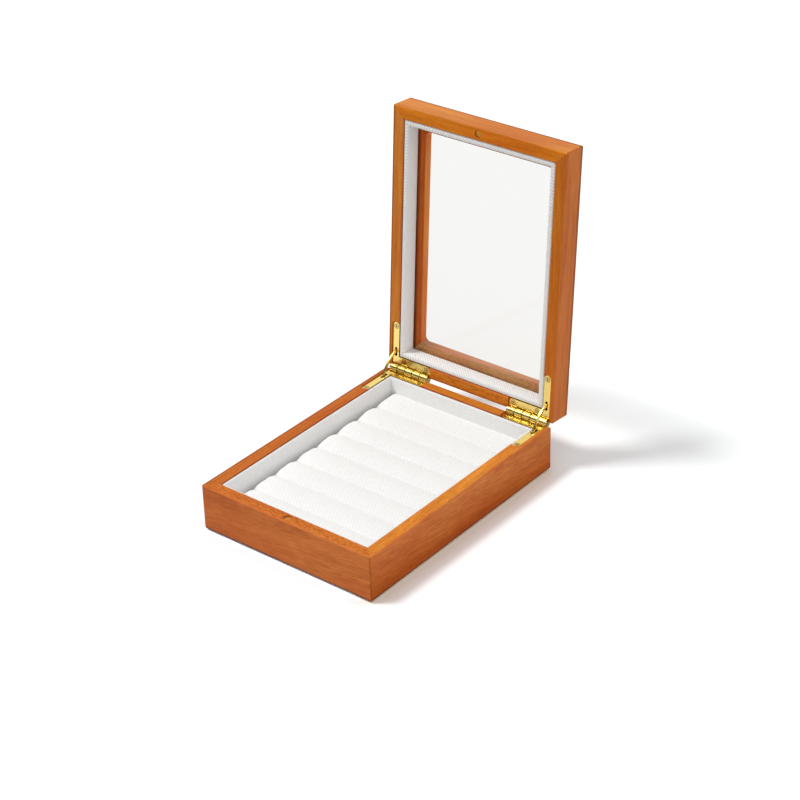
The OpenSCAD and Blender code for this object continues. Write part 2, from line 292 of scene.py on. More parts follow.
@dataclass(frozen=True)
class RailPoint:
    """Where each shaded point lies on its rail.

    Args:
        rim: How squarely it faces out of the rim, from -1 to 1.
        inwards: How squarely it faces into the case, from -1 to 1.
        depth: How far in it is from the rail's outer face.
        run: How far along it is from the rail's middle, either way.
        far: How far it is from the edge away from the rim.
    """

    rim: Socket
    inwards: Socket
    depth: Socket
    run: Socket
    far: Socket


@dataclass(frozen=True)
class RailPlace:
    """Where one rail of the case lies, for the stain that follows its edges.

    Args:
        middle: The middle of its outer face.
        along: The unit vector along it.
        inwards: The unit vector from its outer face into the case.
        rim: The unit vector out of its rim.
        half: Half its length.
        deep: Half its height, from its rim to the edge away from it.
        thick: How thick it is at its rim.
    """

    middle: Triple
    along: Triple
    inwards: Triple
    rim: Triple
    half: float
    deep: float
    thick: float

    def point(self, g: Graph) -> RailPoint:
        """Where each shaded point lies on the rail.

        Args:
            g: The graph of the rail's material.

        Returns:
            The point's place, each measure a scalar product with one of the rail's own ways.
        """
        at = g.node("TexCoord").outputs
        offset = g.node("VectorMath", {0: at["Object"], 1: self.middle}, operation="SUBTRACT").outputs[0]
        return RailPoint(
            rim=g.dot(at["Normal"], self.rim),
            inwards=g.dot(at["Normal"], self.inwards),
            depth=g.dot(offset, self.inwards),
            run=g.math("ABSOLUTE", g.dot(offset, self.along)),
            far=g.plus(g.dot(offset, self.rim), self.deep),
        )


@dataclass(frozen=True)
class StainedWood:
    """Close-grained wood with a reddish brown stain, oiled to a satin sheen.

    The stain goes from dark to pale with the grain. The colours that follow dark multiply it where each one
    shows: redder patches and flecks on the rim; a lighter outer edge, from wear and a painted highlight;
    dark mitres and darker edge lines; painted shade in crevices, just inside the rim, at the foot and beside
    the lining; and painted shade low on the side. The pairs are limits over which a part of the look comes
    or goes: the first three of noise, the facings of how squarely a face looks out of the rim, and the spans
    of distance.

    Args:
        name: The material's name.
        grain: The way its grain runs.
        cut: Which piece of the plank this is, so that no two rails match.
        place: Where its rail lies.
        rim_tone: What multiplies the stain on the rim, fitted by face, with painted light and shade in it.
        side_tone: What multiplies it elsewhere, fitted by face, with painted light and shade in it.
        slope: How far its grain runs off the rail's own line.
        flecked: How strongly short dark flecks show on its rim, from 0 to 1.
        edged: How much painted shade darkens the wall just inside its rim, from 0 to 1.
        outlined: How dark the rim's outer edge is, from 0 to 1.
        footed: How much painted shade darkens the rounded edge away from the rim, from 0 to 1.
        backed: How dark the sides are along that edge, from 0 to 1.
        ledge_tone: What multiplies the stain on its window's ledge, with painted light and shade in it.
        window_tone: What multiplies it on the window's side, with painted light and shade in it.
        shaded: How much darker the ledge is beside the lining, from 0 to 1.
        pooled: How much painted shade darkens its side towards the foot, from 0 to 1.
    """

    name: str
    grain: Grain
    cut: float
    place: RailPlace
    rim_tone: Colour
    side_tone: Colour
    slope: float
    flecked: float
    edged: float
    outlined: float
    footed: float
    backed: float
    ledge_tone: Colour
    window_tone: Colour
    shaded: float
    pooled: float
    pale: Colour = (0.80, 0.236, 0.042)
    dark: Colour = (0.58, 0.146, 0.024)
    red: Colour = (0.96, 0.84, 0.86)
    fleck: Colour = (0.72, 0.56, 0.50)
    # A lighter outer edge: wear and a painted highlight.
    worn: Colour = (1.12, 1.22, 1.6)
    # Dark mitres and edge lines, and painted shade in crevices and just inside the rim.
    sunk: Colour = (0.45, 0.33, 0.25)
    # Painted shade on the foot's edge and on the ledge beside the lining.
    burnt: Colour = (0.26, 0.18, 0.14)
    # Painted shade low on the side, fading upwards.
    pool: Colour = (0.68, 0.44, 0.03)
    figured: Pair = (1.30, 1.90)
    patched: Pair = (0.42, 0.62)
    speckled: Pair = (0.46, 0.64)
    rim_facing: Pair = (0.90, 0.98)
    edge_facing: Pair = (0.3, 0.5)
    foot_facing: Pair = (-0.2, -0.04)
    front_facing: Pair = (-0.7, -0.4)
    back_facing: Pair = (-0.97, -0.85)
    pool_span: Pair = (5 * MM, 22 * MM)
    shade_span: Pair = (2.6 * MM, 5.2 * MM)
    within_span: Pair = (0.1 * MM, 0.3 * MM)
    mitre_span: Pair = (0.05 * MM, 0.2 * MM)
    outline_span: Pair = (1.1 * MM, 1.5 * MM)
    backed_span: Pair = (2.2 * MM, 3.4 * MM)
    edged_span: Pair = (-0.15 * MM, -0.02 * MM)
    reach: float = 0.6 * MM
    roughness: float = 0.46

    def _tone(self, g: Graph, along: Socket) -> Socket:
        """The grain: broad figure, growth lines, fibres and pores, each a noise stretched along it.

        Args:
            g: The material's graph.
            along: The place, with X along the grain.

        Returns:
            The weighted sum of the four, spread from 0 to 1.
        """
        run = g.node("Mapping", {"Vector": along, "Rotation": (0.0, self.slope, self.slope)}).outputs[0]
        layers = {
            (10, 70, 70): 0.9,
            (14, 420, 420): 0.7,
            (26, 1300, 1300): 1.0,
            (160, 2600, 2600): 0.6,
        }
        parts = [g.times(g.noise(g.stretched(run, scale), 1.0), weight) for scale, weight in layers.items()]
        return g.spread(reduce(g.plus, parts), *self.figured)

    def _stain(self, g: Graph, along: Socket, tone: Socket, on_rim: Socket) -> Socket:
        """The stain in the open: by the grain, redder in patches, and flecked on the rim.

        Args:
            g: The material's graph.
            along: The place, with X along the grain.
            tone: The grain, from 0 to 1.
            on_rim: 1 on the rim.

        Returns:
            The stain's colour.
        """
        colour = g.mix(tone, self.dark, self.pale)
        patches = g.spread(g.noise(g.stretched(along, (22, 50, 50)), 1.0), *self.patched)
        colour = g.tint(colour, self.red, patches)
        flecks = g.noise(g.stretched(along, (450, 1000, 1000)), 1.0, 2.0, 0.6)
        return g.tint(colour, self.fleck, g.spread(flecks, *self.speckled, 0.0, self.flecked), on_rim)

    def _past_rim(self, g: Graph, point: RailPoint, span: Pair, to_low: float, to_high: float) -> Socket:
        """The depth past the rim's inner edge, over the span given, moved to to_low..to_high."""
        thick = self.place.thick
        return g.spread(point.depth, thick + span[0], thick + span[1], to_low, to_high)

    def _toned(self, g: Graph, colour: Socket, point: RailPoint, on_rim: Socket) -> Socket:
        """The stain in the tone of the face it is on: rim or side, and ledge or side within the window.
        The tones carry painted light and shade, and painted shade darkens the ledge beside the lining.

        Args:
            g: The material's graph.
            colour: The stain so far.
            point: Where each point lies on the rail.
            on_rim: 1 on the rim and on the ledge, which face the same way.

        Returns:
            The stain, toned.
        """
        # The tones are fitted face by face and carry painted light and shade.
        outside = g.mix(on_rim, g.tint(colour, self.side_tone, 1.0), g.tint(colour, self.rim_tone, 1.0))
        # Painted shade on the ledge beside the lining.
        shade = self._past_rim(g, point, self.shade_span, self.shaded, 0.0)
        ledge = g.tint(g.tint(colour, self.ledge_tone, 1.0), self.burnt, shade)
        window = g.mix(on_rim, g.tint(colour, self.window_tone, 1.0), ledge)
        within = self._past_rim(g, point, self.within_span, 0.0, 1.0)
        return g.mix(g.times(within, g.spread(point.rim, *self.front_facing)), outside, window)

    def _edged(self, g: Graph, colour: Socket, point: RailPoint) -> Socket:
        """The stain on its edges: lighter on the rim's outer edge, from wear and a painted highlight,
        darker in the mitres and on the outer and back edges, and darker from painted shade at the foot
        and just inside the rim.

        Args:
            g: The material's graph.
            colour: The stain so far.
            point: Where each point lies on the rail.

        Returns:
            The stain with its edges.
        """
        # Lighter outer edge: wear and a painted highlight.
        outer_edge = g.spread(g.apart(point.rim, 0.6), 0.2, 0.3, 0.3, 0.0)
        colour = g.tint(colour, self.worn, outer_edge, g.spread(point.inwards, -0.3, 0.0, 1.0, 0.0))
        not_back = g.spread(point.rim, *self.back_facing)
        # Painted shade on the rounded edge away from the rim.
        foot = g.spread(point.rim, *self.foot_facing, self.footed, 0.0)
        colour = g.tint(colour, self.burnt, not_back, foot)

        short = g.apart(g.math("SUBTRACT", self.place.half, point.run), point.depth)
        mitre = g.spread(short, *self.mitre_span, 1.0, 0.0)
        colour = g.tint(colour, self.sunk, mitre, g.spread(point.rim, 0.3, 0.8, 0.8, 0.15))
        # Painted shade just inside the rim's inner edge.
        line = self._past_rim(g, point, self.edged_span, 0.0, self.edged)
        outside = self._past_rim(g, point, self.within_span, 1.0, 0.0)
        colour = g.tint(colour, self.sunk, line, outside)
        outline = g.spread(point.depth, *self.outline_span, self.outlined, 0.0)
        colour = g.tint(colour, self.sunk, outline, g.spread(point.rim, *self.edge_facing))
        back_edge = g.spread(point.far, *self.backed_span, self.backed, 0.0)
        return g.tint(colour, self.sunk, back_edge, outside, not_back)

    def material(self) -> Material:
        """Builds the material.

        Returns:
            Stain that follows the grain, toned by face with painted light and shade, edged, and darkened by
            painted shade where it meets other pieces and low on the side.
        """
        material, g = new_graph(self.name)
        place = g.node("TexCoord").outputs["Object"]
        shift = (self.cut, self.cut * 0.37, self.cut * 0.61)
        settings = {"Vector": place, "Location": shift, "Rotation": self.grain.value}
        along = g.node("Mapping", settings, vector_type="TEXTURE").outputs[0]
        tone = self._tone(g, along)
        point = self.place.point(g)
        on_rim = g.spread(point.rim, *self.rim_facing)
        colour = self._toned(g, self._stain(g, along, tone, on_rim), point, on_rim)
        # Painted shade where other pieces come near, from an occlusion test.
        colour = g.tint(self._edged(g, colour, point), self.sunk, g.crevice(self.reach), 0.7)
        height = g.node("SeparateXYZ", {0: place}).outputs[2]
        # Painted shade low on the side, fading upwards.
        colour = g.tint(colour, self.pool, g.spread(height, *self.pool_span, self.pooled, 0.0))
        look = {
            "Base Color": colour,
            "Roughness": g.spread(tone, 0.0, 1.0, self.roughness + 0.05, self.roughness - 0.05),
            "Specular IOR Level": 0.10,
            "Normal": g.bump(tone, 0.02 * MM, 0.5),
        }
        g.surface(g.node("BsdfPrincipled", look))
        return material


@dataclass(frozen=True)
class Twill:
    """The relief of a twill cloth: diagonal ribs, each broken into short floats of yarn.

    With a = u cos t + v sin t across the ribs and b = u sin t - v cos t along them, the height is
    |sin(pi a / rib)| times 0.8 + 0.2 |sin(pi b / float)|, half a float out of step from one rib to the next.

    Args:
        angle: The angle t, in degrees.
        rib: The distance between ribs.
        floats: The length of one float.
        relief: The height of a rib.
    """

    angle: float = 45.0
    rib: float = 1.48 * MM
    floats: float = 4.0 * MM
    relief: float = 0.05 * MM

    @property
    def ways(self) -> Pair:
        """The cosine and sine of the angle."""
        return math.cos(math.radians(self.angle)), math.sin(math.radians(self.angle))

    def height(self, u: Points, v: Points) -> Points:
        """The cloth's height over its ground.

        Args:
            u: The first measure of each place on the cloth.
            v: The second.

        Returns:
            The height there.
        """
        cos, sin = self.ways
        across, along = cos * u + sin * v, sin * u - cos * v
        rib = np.abs(np.sin(math.pi * across / self.rib))
        step = 0.5 * np.floor(across / self.rib)
        return self.relief * rib * (0.8 + 0.2 * np.abs(np.sin(math.pi * (along / self.floats + step))))


@dataclass(frozen=True)
class Linen:
    """White linen twill on the linings and the rolls.

    Args:
        name: The material's name.
        weave: The relief that the cloth's surfaces have, whose yarns are drawn here.
        thread: The yarn's colour.
        groove: The colour between the ribs, darker than the yarn as painted shade of the weave.
        yarn: The width of one yarn.
    """

    name: str
    weave: Twill
    thread: Colour = (0.975, 0.972, 0.955)
    groove: Colour = (0.85, 0.85, 0.84)
    yarn: float = 0.35 * MM

    def material(self) -> Material:
        """Builds the material.

        Returns:
            Cloth with grooves between its ribs darker as painted shade, and fine yarns on them,
            by its own UV in metres.
        """
        material, g = new_graph(self.name)
        place = g.node("UVMap", uv_map="cloth").outputs[0]
        cos, sin = self.weave.ways
        across = g.times(g.dot(place, (cos, sin, 0.0)), 1 / self.weave.rib)
        along = g.dot(place, (sin, -cos, 0.0))
        step = g.times(g.math("FLOOR", across), 0.5)
        end = g.ripple(g.plus(g.times(along, 1 / self.weave.floats), step))
        slub = g.noise(g.stretched(place, (450, 450, 450)), 1.0, 3.0)
        # Raised ribs lighter and grooves darker: painted light and shade of the weave, with the yarn's slubs.
        raised = g.times(g.spread(g.ripple(across), 0.05, 0.65), g.spread(end, 0.0, 0.3, 0.75, 1.0))
        lit = g.plus(g.times(raised, 0.8), g.spread(slub, 0.3, 0.7, -0.05, 0.3))
        relief = g.plus(g.times(g.ripple(along, self.yarn), 0.5), g.times(slub, 0.5))
        look = {
            "Base Color": g.mix(g.spread(lit, 0.0, 1.0), self.groove, self.thread),
            "Roughness": 0.9,
            "Specular IOR Level": 0.15,
            "Sheen Weight": 0.1,
            "Sheen Roughness": 0.5,
            "Normal": g.bump(relief, 0.04 * MM, 0.6),
        }
        g.surface(g.node("BsdfPrincipled", look))
        return material


@dataclass(frozen=True)
class Brass:
    """Polished brass plate, with painted shade in its joints, on its cut ends and round its screws.

    Args:
        name: The material's name.
        screws: The middles of the screws' heads that are sunk in it.
        colour: The metal's colour.
        roughness: Its roughness where it is cleanest.
        cut_ends: How much painted shade darkens its cut ends, from 0 to 1.
        tarnish: What multiplies the colour where shade is painted.
        reach: How near another piece has to be for painted shade to darken it.
        head_r: The radius of a screw's head, which has a ring of painted shade round it.
        ring_span: The distances from that radius over which the ring fades.
    """

    name: str
    screws: tuple[Triple, ...] = ()
    colour: Colour = (1.0, 0.75, 0.235)
    roughness: float = 0.19
    cut_ends: float = 0.7
    tarnish: Colour = (0.16, 0.10, 0.04)
    reach: float = 0.6 * MM
    head_r: float = 1.35 * MM
    ring_span: Pair = (0.08 * MM, 0.3 * MM)

    def material(self) -> Material:
        """Builds the material.

        Returns:
            Plate with faint waves in it, thin smears on its polish and painted shade in its joints.
        """
        material, g = new_graph(self.name)
        at = g.node("TexCoord").outputs
        smear = g.noise(at["Object"], 420.0, 3.0, 0.6)
        wave = g.noise(at["Object"], 260.0, 1.0)
        colour = g.mix(smear, tuple(0.9 * c for c in self.colour), self.colour)
        # Painted shade on the cut ends, where other pieces come near and round each screw's head.
        sideways = g.math("ABSOLUTE", g.dot(at["Normal"], (1.0, 0.0, 0.0)))
        dark = g.math("MAXIMUM", g.spread(sideways, 0.7, 0.9, 0.0, self.cut_ends), g.crevice(self.reach))
        for screw in self.screws:
            away = g.node("VectorMath", {0: at["Object"], 1: screw}, operation="DISTANCE").outputs["Value"]
            ring = g.spread(g.apart(away, self.head_r), *self.ring_span, 0.9, 0.0)
            dark = g.math("MAXIMUM", dark, ring)
        look = {
            "Base Color": g.tint(colour, self.tarnish, dark),
            "Metallic": 1.0,
            "Roughness": g.spread(smear, 0.35, 0.75, self.roughness, self.roughness + 0.12),
            "Normal": g.bump(wave, 0.05 * MM, 0.6),
        }
        g.surface(g.node("BsdfPrincipled", look))
        return material


@dataclass(frozen=True)
class Fibreboard:
    """Plain brown fibreboard, for the panels that nobody sees.

    Args:
        name: The material's name.
        pale: The colour of its palest fibres.
        dark: The colour of its darkest fibres.
    """

    name: str = "fibreboard"
    pale: Colour = (0.40, 0.25, 0.13)
    dark: Colour = (0.22, 0.12, 0.055)

    def material(self) -> Material:
        """Builds the material.

        Returns:
            Pressed fibres in two browns, with a matt, slightly rough face.
        """
        material, g = new_graph(self.name)
        place = g.node("TexCoord").outputs["Object"]
        fibre = g.noise(g.stretched(place, (900, 1500, 900)), 1.0, 4.0, 0.7)
        tone = g.plus(g.times(fibre, 0.7), g.times(g.noise(place, 60.0), 0.3))
        look = {
            "Base Color": g.ramp(tone, {0.35: self.dark, 0.65: self.pale}),
            "Roughness": 0.75,
            "Normal": g.bump(fibre, 0.05 * MM, 0.5),
        }
        g.surface(g.node("BsdfPrincipled", look))
        return material


@dataclass(frozen=True)
class ClearGlass:
    """Thin clear sheet glass, very faintly grey.

    Light on its way to or from what lies behind goes straight through, as it does through so thin a sheet.

    Args:
        name: The material's name.
        colour: The glass's own colour.
        passed: What multiplies the light that goes straight through.
    """

    name: str = "clear_glass"
    colour: Colour = (0.98, 0.985, 0.98)
    passed: Colour = (0.985, 0.99, 0.985)

    def material(self) -> Material:
        """Builds the material.

        Returns:
            Glass that lets lamps through, with the faintest waves in it.
        """
        material, g = new_graph(self.name)
        place = g.node("TexCoord").outputs["Object"]
        look = {
            "Base Color": self.colour,
            "Roughness": 0.0,
            "IOR": 1.18,
            "Specular IOR Level": 0.3,
            "Transmission Weight": 1.0,
            "Normal": g.bump(g.noise(place, 30.0, 1.0), 0.01 * MM, 0.2),
        }
        sheet = g.node("BsdfPrincipled", look).outputs[0]
        clear = g.node("BsdfTransparent", {"Color": self.passed}).outputs[0]
        path = g.node("LightPath").outputs
        inner = g.node("MixShader", {0: path["Is Diffuse Ray"], 1: sheet, 2: clear}).outputs[0]
        g.surface(g.node("MixShader", {0: path["Is Shadow Ray"], 1: inner, 2: clear}))
        return material


# ---------------------------------------------------------------- meshes


def dress(node: Piece, material: Material) -> None:
    """Gives a piece one material in each of its slots.

    Args:
        node: The piece.
        material: Its finish.
    """
    if not node.material_slots:
        node.data.materials.append(material)
    for slot in node.material_slots:
        slot.material = material


def run_along(points: Points) -> Points:
    """The distance run at each point of a line: 0, then the sum of the steps so far."""
    return np.concatenate([[0.0], np.cumsum(np.linalg.norm(np.diff(points, axis=0), axis=1))])


def resampled(outline: list[Points], counts: list[int]) -> Points:
    """Points spaced evenly along each stretch of a closed outline.

    Args:
        outline: The stretches, one array of points each; each ends where the next starts.
        counts: How many points each stretch gets, its last point left out.

    Returns:
        The outline's points in turn.
    """
    parts = []
    for stretch, count in zip(outline, counts):
        run = run_along(stretch)
        at = np.linspace(0.0, run[-1], count, endpoint=False)
        parts.append(np.stack([np.interp(at, run, axis) for axis in stretch.T], axis=-1))
    return np.concatenate(parts)


def quarter(centre: Pair, radius: float, start: float, end: float) -> Points:
    """Twelve points on a circle: centre + radius (cos t, sin t), t from start to end in degrees."""
    turn = np.radians(np.linspace(start, end, 12))
    return np.array(centre) + radius * np.stack([np.cos(turn), np.sin(turn)], axis=-1)


def ring_normals(rings: Points) -> Points:
    """Unit normals of a tube's rings: the cross product of the steps round it and along it.

    Args:
        rings: Points by ring and by place round the ring.

    Returns:
        The normal at each point.
    """
    along = np.gradient(rings, axis=0)
    round_it = np.roll(rings, -1, axis=1) - np.roll(rings, 1, axis=1)
    normal = np.cross(round_it, along)
    return normal / np.maximum(np.linalg.norm(normal, axis=2, keepdims=True), 1e-12)


def cloth_uv(rings: Points) -> Points:
    """A tube's UV in metres: u the mean distance along it, v the distance round its middle ring.

    Args:
        rings: Points by ring and by place round the ring.

    Returns:
        The UV at each point, with the seam's column twice.
    """
    along = np.linalg.norm(np.diff(rings, axis=0), axis=2).mean(axis=1)
    u = np.concatenate([[0.0], np.cumsum(along)])
    middle = rings[len(rings) // 2]
    v = run_along(np.concatenate([middle, middle[:1]]))
    return np.stack(np.meshgrid(u, v, indexing="ij"), axis=-1)


def woven(rings: Points, weave: Twill) -> Points:
    """A tube's rings lifted along their normals by the weave's relief."""
    uv = cloth_uv(rings)[:, :-1]
    return rings + ring_normals(rings) * weave.height(uv[..., 0], uv[..., 1])[..., None]


def tube(name: str, rings: Points, uv: Points, material: Material) -> Piece:
    """A closed piece from rings of points, with a flat face over its first and last ring.

    Args:
        name: The piece's name.
        rings: Points by ring and by place round the ring; each ring is closed.
        uv: The cloth's UV there, with the seam's column twice.
        material: Its finish.

    Returns:
        The piece, its faces outwards, with the cloth's UV in metres.
    """
    count, round_it = rings.shape[:2]
    i, j = np.meshgrid(np.arange(count - 1), np.arange(round_it), indexing="ij")
    k = (j + 1) % round_it
    here, beyond = i * round_it, (i + 1) * round_it
    quads = np.stack([here + j, here + k, beyond + k, beyond + j], axis=-1)
    loops = np.stack([uv[i, j], uv[i, j + 1], uv[i + 1, j + 1], uv[i + 1, j]], axis=2).reshape(-1, 4, 2)
    flat = rings.reshape(-1, 3)
    faces = quads.reshape(-1, 4)
    p, q, r, s = (flat[faces[:, n]] for n in range(4))
    volume = np.einsum("ij,ij->", np.cross(p, q), r) + np.einsum("ij,ij->", np.cross(p, r), s)
    first = np.arange(round_it)[::-1]
    last = np.arange(round_it) + (count - 1) * round_it
    if volume < 0:
        faces, loops, first, last = faces[:, ::-1], loops[:, ::-1], first[::-1], last[::-1]
    mesh = bpy.data.meshes.new(name)
    mesh.from_pydata(flat.tolist(), [], faces.tolist() + [first.tolist(), last.tolist()])
    layer = mesh.uv_layers.new(name="cloth")
    caps = np.concatenate([uv[0, first % round_it], uv[-1, last % round_it]])
    layer.data.foreach_set("uv", np.concatenate([loops.reshape(-1, 2), caps]).astype(np.float32).ravel())
    smooth = np.ones(len(mesh.polygons), bool)
    smooth[-2:] = False
    mesh.polygons.foreach_set("use_smooth", smooth)
    mesh.materials.append(material)
    mesh.update()
    piece = bpy.data.objects.new(name, mesh)
    bpy.context.scene.collection.objects.link(piece)
    return piece


def waves(u: Points, v: Points, seed: int, length: float) -> Points:
    """A smooth unevenness: the mean of six sines of u and v with seeded directions, phases and lengths.

    Args:
        u: The first measure of each place.
        v: The second.
        seed: The seed of the draws.
        length: The length of a wave before its own stretch.

    Returns:
        The unevenness there, from -1 to 1.
    """
    rng = np.random.default_rng(seed)
    turns = rng.uniform(0, math.pi, 6)
    phases = rng.uniform(0, 2 * math.pi, 6)
    stretches = rng.uniform(0.6, 1.6, 6)
    total = np.zeros(np.broadcast(u, v).shape)
    for turn, phase, stretch in zip(turns, phases, stretches):
        across = u * math.cos(turn) + v * math.sin(turn)
        total = total + np.sin(2 * math.pi * across / (length * stretch) + phase)
    return total / 6


# ---------------------------------------------------------------- the case


@dataclass(frozen=True)
class PartStain:
    """How the four rails of one part are stained, in the order of the sides.

    Args:
        cut: Which piece of the plank its front rail is.
        rim_tones: What multiplies the stain on each rim, fitted by face, with painted light and shade in it.
        side_tones: What multiplies it elsewhere on each rail, fitted the same way.
        slopes: How far each rail's grain runs off its own line.
        flecked: How strongly flecks show on each rim.
        edged: How much painted shade darkens the walls just inside the rim.
        footed: How much painted shade darkens the rounded edges away from the rim.
        backed: How dark the sides are along those edges.
    """

    cut: float
    rim_tones: tuple[Colour, ...]
    side_tones: tuple[Colour, ...]
    slopes: tuple[float, ...]
    flecked: tuple[float, ...]
    edged: float
    footed: float
    backed: float


# The tones are fitted face by face: they carry painted light and shade as well as the stain's own tone.
BASE_STAIN = PartStain(
    cut=0.31,
    rim_tones=((1.00, 1.08, 0.78), (1.12, 1.49, 0.94), (1.02, 1.34, 0.76), (0.83, 0.80, 0.49)),
    side_tones=((0.97, 1.01, 1.25), (1.05, 1.16, 1.36), PLAIN, PLAIN),
    slopes=(0.11, -0.10, 0.03, 0.02),
    flecked=(1.0, 0.4, 0.4, 0.4),
    edged=0.6,
    footed=0.8,
    backed=0.0,
)
LID_STAIN = PartStain(
    cut=1.27,
    rim_tones=((1.14, 1.22, 0.31), (0.87, 0.89, 0.34), (1.05, 1.28, 0.64), (0.95, 1.17, 0.91)),
    side_tones=((1.02, 1.24, 1.14), (0.90, 0.96, 0.94), PLAIN, PLAIN),
    slopes=(0.02, -0.02, 0.02, 0.02),
    flecked=(0.3, 0.15, 0.8, 0.15),
    edged=0.3,
    footed=0.25,
    backed=0.75,
)


@dataclass
class WoodenCase:
    """The walls of the base, the rails of the lid and the boards inside, which keep the frame's solids.

    Args:
        nodes: The frame's nodes by name.
        turn: The lid's turn.
        next_cut: How far apart the rails' pieces of the plank are.
        thick: How thick the walls and rails are at their rims.
        pooled: How much painted shade darkens the right wall towards its foot, from 0 to 1.
        outlined: How dark each rim's outer edge is, in the order of the sides.
        shaded: How much darker each ledge is beside its lining.
        ledge_tones: What multiplies the stain on each ledge, with painted light and shade in it.
        window_tones: What multiplies it on each side of the window, with painted light and shade in it.
    """

    nodes: dict[str, Piece]
    turn: LidTurn
    next_cut: float = 0.173
    thick: float = 7 * MM
    pooled: float = 0.9
    outlined: tuple[float, ...] = (0.0, 0.0, 0.0, 0.8)
    shaded: tuple[float, ...] = (0.5, 0.5, 0.1, 0.9)
    # Painted light and shade on the ledges and the window's sides, paler on the back ledge.
    ledge_tones: tuple[Colour, ...] = (
        (1.2, 1.1, 0.5),
        (1.2, 1.1, 0.5),
        (1.40, 2.75, 6.2),
        (1.30, 1.05, 0.22),
    )
    window_tones: tuple[Colour, ...] = (
        (1.1, 0.9, 0.5),
        (1.1, 0.9, 0.5),
        (0.78, 1.20, 3.3),
        (1.08, 1.06, 0.52),
    )

    def _place(self, lid: bool, side: Side, node: Piece) -> RailPlace:
        """Where a rail lies now.

        Args:
            lid: Whether it is in the lid.
            side: Its side of the case.
            node: Its solid.

        Returns:
            Its place with the lid shut, opened with the lid.
        """
        low, high = corners_of(node, self.turn if lid else None)
        middle = (low + high) / 2 - side.inwards * abs((high - low) @ side.inwards) / 2
        ways = [side.along, side.inwards, np.array([0.0, 0.0, -1.0 if lid else 1.0])]
        if lid:
            middle = self.turn.open(middle)
            ways = [self.turn.opened_way(way) for way in ways]
        half = float(abs((high - low) @ side.along)) / 2
        deep = float(high[2] - low[2]) / 2
        return RailPlace(triple(middle), *map(triple, ways), half, deep, self.thick)

    def _stain(self, name: str, side: Side, lid: bool) -> StainedWood:
        """The stained wood of one wall or rail.

        Args:
            name: Its node's name.
            side: Its side of the case.
            lid: Whether it is in the lid.

        Returns:
            The finish, with the grain along the rail.
        """
        number = list(Side).index(side)
        across = side in (Side.FRONT, Side.BACK)
        stain = LID_STAIN if lid else BASE_STAIN
        return StainedWood(
            name=f"wood_{name}",
            grain=Grain.ACROSS if across else Grain.UP_LID if lid else Grain.DEPTH,
            cut=stain.cut + self.next_cut * number,
            place=self._place(lid, side, self.nodes[name]),
            rim_tone=stain.rim_tones[number],
            side_tone=stain.side_tones[number],
            slope=stain.slopes[number],
            flecked=stain.flecked[number],
            edged=stain.edged,
            outlined=self.outlined[number],
            footed=stain.footed,
            backed=stain.backed,
            ledge_tone=self.ledge_tones[number],
            window_tone=self.window_tones[number],
            shaded=self.shaded[number],
            # Painted shade low on the base's right wall only.
            pooled=0.0 if lid or side is not Side.RIGHT else self.pooled,
        )

    def finish(self) -> None:
        """Gives each wall and rail stained wood whose grain runs along it, and the boards fibreboard."""
        for side in Side:
            for name, lid in ((f"base_{side.word}_wall", False), (f"lid_{side.word}_rail", True)):
                dress(self.nodes[name], self._stain(name, side, lid).material())
                LOG.info("%s: stained wood", name)
        board = Fibreboard().material()
        for name in ("bottom_panel", "roll_board"):
            dress(self.nodes[name], board)
            LOG.info("%s: fibreboard", name)


@dataclass
class Hardware:
    """The hinges, stays, screws and magnets, and the glass, which keep the frame's solids.

    Args:
        nodes: The frame's nodes by name.
        turn: The lid's turn.
        head_r: The radius of a screw's head.
        head_depth: How far under the highest point the points on top of a head may be.
        head_span: How many radii apart two points on top of one head may be.
        screw_brass: The colour of the screws.
        gilts: The colour of the magnet in each part.
    """

    nodes: dict[str, Piece]
    turn: LidTurn
    head_r: float = 1.35 * MM
    head_depth: float = 0.05 * MM
    head_span: float = 2.2
    screw_brass: Colour = (0.92, 0.68, 0.24)
    gilts: dict[str, Colour] = field(
        default_factory=lambda: {"base": (0.66, 0.29, 0.06), "lid": (0.52, 0.21, 0.03)}
    )

    def _heads(self, part: str) -> tuple[Triple, ...]:
        """The middles of one part's screw heads, found from the points on top of them.

        Args:
            part: The part that the screws are in, base or lid.

        Returns:
            One place for each screw.
        """
        lid = part == "lid"
        points = points_of(self.nodes[f"{part}_hinge_screws"])
        if lid:
            points = self.turn.shut(points)
        level = -points[:, 2] if lid else points[:, 2]
        left = points[level > level.max() - self.head_depth]
        heads = []
        while len(left):
            near = np.linalg.norm(left - left[0], axis=1) < self.head_span * self.head_r
            heads.append((left[near].min(axis=0) + left[near].max(axis=0)) / 2)
            left = left[~near]
        return tuple(triple(self.turn.open(head) if lid else head) for head in heads)

    def finish(self) -> None:
        """Gives the hinges, stays and pins bright brass, other metal duller brass, and the pane glass."""
        finishes = {}
        for part in ("base", "lid"):
            heads = self._heads(part)
            LOG.info("%s: %d screws", part, len(heads))
            finishes["leaf", part] = Brass(f"brass_{part}_plate", heads).material()
            screws = Brass(f"brass_{part}_screws", heads, self.screw_brass, 0.18)
            finishes["screws", part] = screws.material()
            finishes["magnet", part] = Brass(f"gilt_{part}_magnet", (), self.gilts[part], 0.40).material()
        finishes["pin", "base"] = Brass("brass_pins").material()
        finishes["stay", "base"] = Brass("brass_stays", cut_ends=0.0).material()
        for name, node in self.nodes.items():
            words = name.split("_")
            key = words[-1], "lid" if "lid" in words else "base"
            if key in finishes:
                dress(node, finishes[key])
                LOG.info("%s: brass", name)
        dress(self.nodes["glass_pane"], ClearGlass().material())
        LOG.info("glass_pane: clear glass")


# ---------------------------------------------------------------- linings


